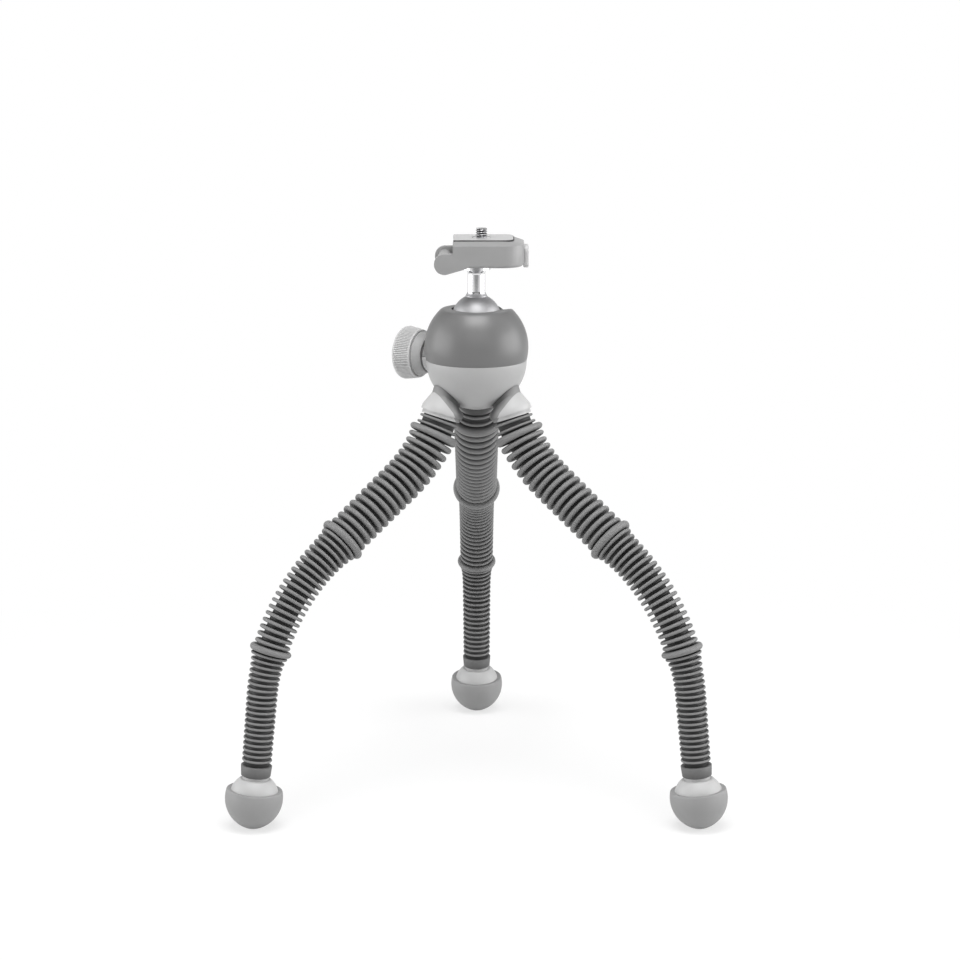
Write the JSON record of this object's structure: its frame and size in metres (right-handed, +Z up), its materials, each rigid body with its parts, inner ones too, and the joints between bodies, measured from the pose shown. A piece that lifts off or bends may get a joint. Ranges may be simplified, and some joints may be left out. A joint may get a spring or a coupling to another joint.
{
  "type": "flexible leg tripod",
  "caption": "Small tabletop camera tripod with bendable ribbed legs, a round ball head housing, a side lock knob and a quick release clamp with a camera screw.",
  "frame": {"origin": "on the tripod's upright axis, on the ground that the feet stand on", "axes": "+Z up, +X to the right of the picture's view, -Y towards the viewer; one leg points to +Y"},
  "size_m": [0.2772, 0.2444, 0.3235],
  "materials": {
    "dark_shell": "satin",
    "light_shell": "satin",
    "pale_trim": "matte",
    "nylon": "matte",
    "steel": "bright",
    "brass": "satin",
    "chrome": "polished",
    "clamp_paint": "satin",
    "plate_metal": "satin",
    "ribbed_rubber": "matte",
    "foot_rubber": "matte"
  },
  "bodies": {
    "housing": {"lower_shell": "light_shell", "upper_shell": "dark_shell", "bottom_cap": "pale_trim", "seat_ring": "nylon", "lift_block": "steel", "knob_bush": "brass", "hip_studs": "steel", "hip_rear": "pale_trim", "hip_left": "pale_trim", "hip_right": "pale_trim", "sleeve_rear": "ribbed_rubber", "sleeve_left": "ribbed_rubber", "sleeve_right": "ribbed_rubber"},
    "cup_turn": {"ball_cup": "nylon"},
    "ball_turn": {"ball": "chrome"},
    "platform": {"stem": "chrome", "clamp_body": "clamp_paint", "clamp_bolt": "steel", "latch_pin": "steel", "button_spring": "steel"},
    "latch": {"latch_lever": "clamp_paint"},
    "button": {"release_button": "light_shell"},
    "quick_plate": {"plate": "plate_metal"},
    "screw": {"camera_screw": "steel", "screw_clip": "steel"},
    "wedge": {"brake_wedge": "steel"},
    "knob": {"lock_knob": "light_shell", "knob_spindle": "steel"},
    "leg_rear_1": {"links_rear_1": "nylon"},
    "leg_rear_2": {"links_rear_2": "nylon"},
    "leg_rear_3": {"links_rear_3": "nylon"},
    "leg_rear_4": {"links_rear_4": "nylon"},
    "leg_rear_5": {"links_rear_5": "nylon"},
    "leg_rear_6": {"links_rear_6": "nylon"},
    "leg_rear_7": {"links_rear_7": "nylon"},
    "foot_rear": {"ankle_rear": "pale_trim", "foot_rear": "foot_rubber"},
    "leg_left_1": {"links_left_1": "nylon"},
    "leg_left_2": {"links_left_2": "nylon"},
    "leg_left_3": {"links_left_3": "nylon"},
    "leg_left_4": {"links_left_4": "nylon"},
    "leg_left_5": {"links_left_5": "nylon"},
    "leg_left_6": {"links_left_6": "nylon"},
    "leg_left_7": {"links_left_7": "nylon"},
    "foot_left": {"ankle_left": "pale_trim", "foot_left": "foot_rubber"},
    "leg_right_1": {"links_right_1": "nylon"},
    "leg_right_2": {"links_right_2": "nylon"},
    "leg_right_3": {"links_right_3": "nylon"},
    "leg_right_4": {"links_right_4": "nylon"},
    "leg_right_5": {"links_right_5": "nylon"},
    "leg_right_6": {"links_right_6": "nylon"},
    "leg_right_7": {"links_right_7": "nylon"},
    "foot_right": {"ankle_right": "pale_trim", "foot_right": "foot_rubber"}
  },
  "joints": [
    {"name": "ball_pan", "type": "hinge", "parent": "housing", "child": "cup_turn", "pos_m": [0, 0, 0.27295], "axis": [0, 0, 1], "range_deg": [0, 360]},
    {"name": "ball_tilt", "type": "hinge", "parent": "cup_turn", "child": "ball_turn", "pos_m": [0, 0, 0.27295], "axis": [0.515, -0.8572, 0], "range_deg": [-90, 40]},
    {"name": "stem_spin", "type": "hinge", "parent": "ball_turn", "child": "platform", "pos_m": [0, 0, 0.27295], "axis": [0, 0, 1], "continuous": true},
    {"name": "latch_swing", "type": "hinge", "parent": "platform", "child": "latch", "pos_m": [-0.0175, 0, 0.30565], "axis": [0, 1, 0], "range_deg": [0, 75]},
    {"name": "button_press", "type": "slide", "parent": "platform", "child": "button", "axis": [-1, 0, 0], "range_m": [0, 0.0015], "stiffness_N_per_m": 500, "springref_m": -0.002, "deforming": ["button_spring"]},
    {"name": "plate_slide", "type": "slide", "parent": "platform", "child": "quick_plate", "axis": [-1, 0, 0], "range_m": [0, 0.034]},
    {"name": "screw_turn", "type": "hinge", "parent": "quick_plate", "child": "screw", "pos_m": [0.0028, 0, 0.31835], "axis": [0, 0, 1], "continuous": true},
    {"name": "wedge_slide", "type": "slide", "parent": "housing", "child": "wedge", "axis": [-0.866, 0.5, 0], "range_m": [0, 0.00075]},
    {"name": "knob_turn", "type": "hinge", "parent": "wedge", "child": "knob", "pos_m": [0, 0, 0.24995], "axis": [-0.866, 0.5, 0], "range_deg": [0, 270]},
    {"name": "rear_ball_1", "type": "hinge", "parent": "housing", "child": "leg_rear_1", "pos_m": [0, 0.02401, 0.21645], "axis": [-1, 0, 0], "range_deg": [-20, 20], "deforming": ["sleeve_rear"]},
    {"name": "rear_ball_2", "type": "hinge", "parent": "leg_rear_1", "child": "leg_rear_2", "pos_m": [0, 0.0422, 0.19068], "axis": [0, 0.691, 0.7229], "range_deg": [-20, 20], "deforming": ["sleeve_rear"]},
    {"name": "rear_ball_3", "type": "hinge", "parent": "leg_rear_2", "child": "leg_rear_3", "pos_m": [0, 0.06693, 0.17085], "axis": [1, 0, 0], "range_deg": [-20, 20], "deforming": ["sleeve_rear"]},
    {"name": "rear_ball_4", "type": "hinge", "parent": "leg_rear_3", "child": "leg_rear_4", "pos_m": [0, 0.09193, 0.15132], "axis": [0, -0.6157, -0.788], "range_deg": [-20, 20], "deforming": ["sleeve_rear"]},
    {"name": "rear_ball_5", "type": "hinge", "parent": "leg_rear_4", "child": "leg_rear_5", "pos_m": [0, 0.11428, 0.12898], "axis": [-1, 0, 0], "range_deg": [-20, 20], "deforming": ["sleeve_rear"]},
    {"name": "rear_ball_6", "type": "hinge", "parent": "leg_rear_5", "child": "leg_rear_6", "pos_m": [0, 0.12938, 0.10121], "axis": [0, 0.938, 0.3467], "range_deg": [-20, 20], "deforming": ["sleeve_rear"]},
    {"name": "rear_ball_7", "type": "hinge", "parent": "leg_rear_6", "child": "leg_rear_7", "pos_m": [0, 0.13605, 0.07031], "axis": [1, 0, 0], "range_deg": [-20, 20], "deforming": ["sleeve_rear"]},
    {"name": "rear_ball_8", "type": "hinge", "parent": "leg_rear_7", "child": "foot_rear", "pos_m": [0, 0.13936, 0.03877], "axis": [0, -0.9945, -0.1045], "range_deg": [-20, 20], "deforming": ["sleeve_rear"]},
    {"name": "left_ball_1", "type": "hinge", "parent": "housing", "child": "leg_left_1", "pos_m": [-0.02079, -0.01201, 0.21645], "axis": [0.5, -0.866, 0], "range_deg": [-20, 20], "deforming": ["sleeve_left"]},
    {"name": "left_ball_2", "type": "hinge", "parent": "leg_left_1", "child": "leg_left_2", "pos_m": [-0.03655, -0.0211, 0.19068], "axis": [-0.5984, -0.3455, 0.7229], "range_deg": [-20, 20], "deforming": ["sleeve_left"]},
    {"name": "left_ball_3", "type": "hinge", "parent": "leg_left_2", "child": "leg_left_3", "pos_m": [-0.05797, -0.03347, 0.17085], "axis": [-0.5, 0.866, 0], "range_deg": [-20, 20], "deforming": ["sleeve_left"]},
    {"name": "left_ball_4", "type": "hinge", "parent": "leg_left_3", "child": "leg_left_4", "pos_m": [-0.07961, -0.04596, 0.15132], "axis": [0.5332, 0.3078, -0.788], "range_deg": [-20, 20], "deforming": ["sleeve_left"]},
    {"name": "left_ball_5", "type": "hinge", "parent": "leg_left_4", "child": "leg_left_5", "pos_m": [-0.09897, -0.05714, 0.12898], "axis": [0.5, -0.866, 0], "range_deg": [-20, 20], "deforming": ["sleeve_left"]},
    {"name": "left_ball_6", "type": "hinge", "parent": "leg_left_5", "child": "leg_left_6", "pos_m": [-0.11205, -0.06469, 0.10121], "axis": [-0.8123, -0.469, 0.3467], "range_deg": [-20, 20], "deforming": ["sleeve_left"]},
    {"name": "left_ball_7", "type": "hinge", "parent": "leg_left_6", "child": "leg_left_7", "pos_m": [-0.11782, -0.06803, 0.07031], "axis": [-0.5, 0.866, 0], "range_deg": [-20, 20], "deforming": ["sleeve_left"]},
    {"name": "left_ball_8", "type": "hinge", "parent": "leg_left_7", "child": "foot_left", "pos_m": [-0.12069, -0.06968, 0.03877], "axis": [0.8613, 0.4973, -0.1045], "range_deg": [-20, 20], "deforming": ["sleeve_left"]},
    {"name": "right_ball_1", "type": "hinge", "parent": "housing", "child": "leg_right_1", "pos_m": [0.02079, -0.01201, 0.21645], "axis": [0.5, 0.866, 0], "range_deg": [-20, 20], "deforming": ["sleeve_right"]},
    {"name": "right_ball_2", "type": "hinge", "parent": "leg_right_1", "child": "leg_right_2", "pos_m": [0.03655, -0.0211, 0.19068], "axis": [0.5984, -0.3455, 0.7229], "range_deg": [-20, 20], "deforming": ["sleeve_right"]},
    {"name": "right_ball_3", "type": "hinge", "parent": "leg_right_2", "child": "leg_right_3", "pos_m": [0.05797, -0.03347, 0.17085], "axis": [-0.5, -0.866, 0], "range_deg": [-20, 20], "deforming": ["sleeve_right"]},
    {"name": "right_ball_4", "type": "hinge", "parent": "leg_right_3", "child": "leg_right_4", "pos_m": [0.07961, -0.04596, 0.15132], "axis": [-0.5332, 0.3078, -0.788], "range_deg": [-20, 20], "deforming": ["sleeve_right"]},
    {"name": "right_ball_5", "type": "hinge", "parent": "leg_right_4", "child": "leg_right_5", "pos_m": [0.09897, -0.05714, 0.12898], "axis": [0.5, 0.866, 0], "range_deg": [-20, 20], "deforming": ["sleeve_right"]},
    {"name": "right_ball_6", "type": "hinge", "parent": "leg_right_5", "child": "leg_right_6", "pos_m": [0.11205, -0.06469, 0.10121], "axis": [0.8123, -0.469, 0.3467], "range_deg": [-20, 20], "deforming": ["sleeve_right"]},
    {"name": "right_ball_7", "type": "hinge", "parent": "leg_right_6", "child": "leg_right_7", "pos_m": [0.11782, -0.06803, 0.07031], "axis": [-0.5, -0.866, 0], "range_deg": [-20, 20], "deforming": ["sleeve_right"]},
    {"name": "right_ball_8", "type": "hinge", "parent": "leg_right_7", "child": "foot_right", "pos_m": [0.12069, -0.06968, 0.03877], "axis": [-0.8613, 0.4973, -0.1045], "range_deg": [-20, 20], "deforming": ["sleeve_right"]}
  ],
  "couplings": [
    {"joint": "knob_turn", "follows": "wedge_slide", "rad_per_m": 6283.2}
  ]
}
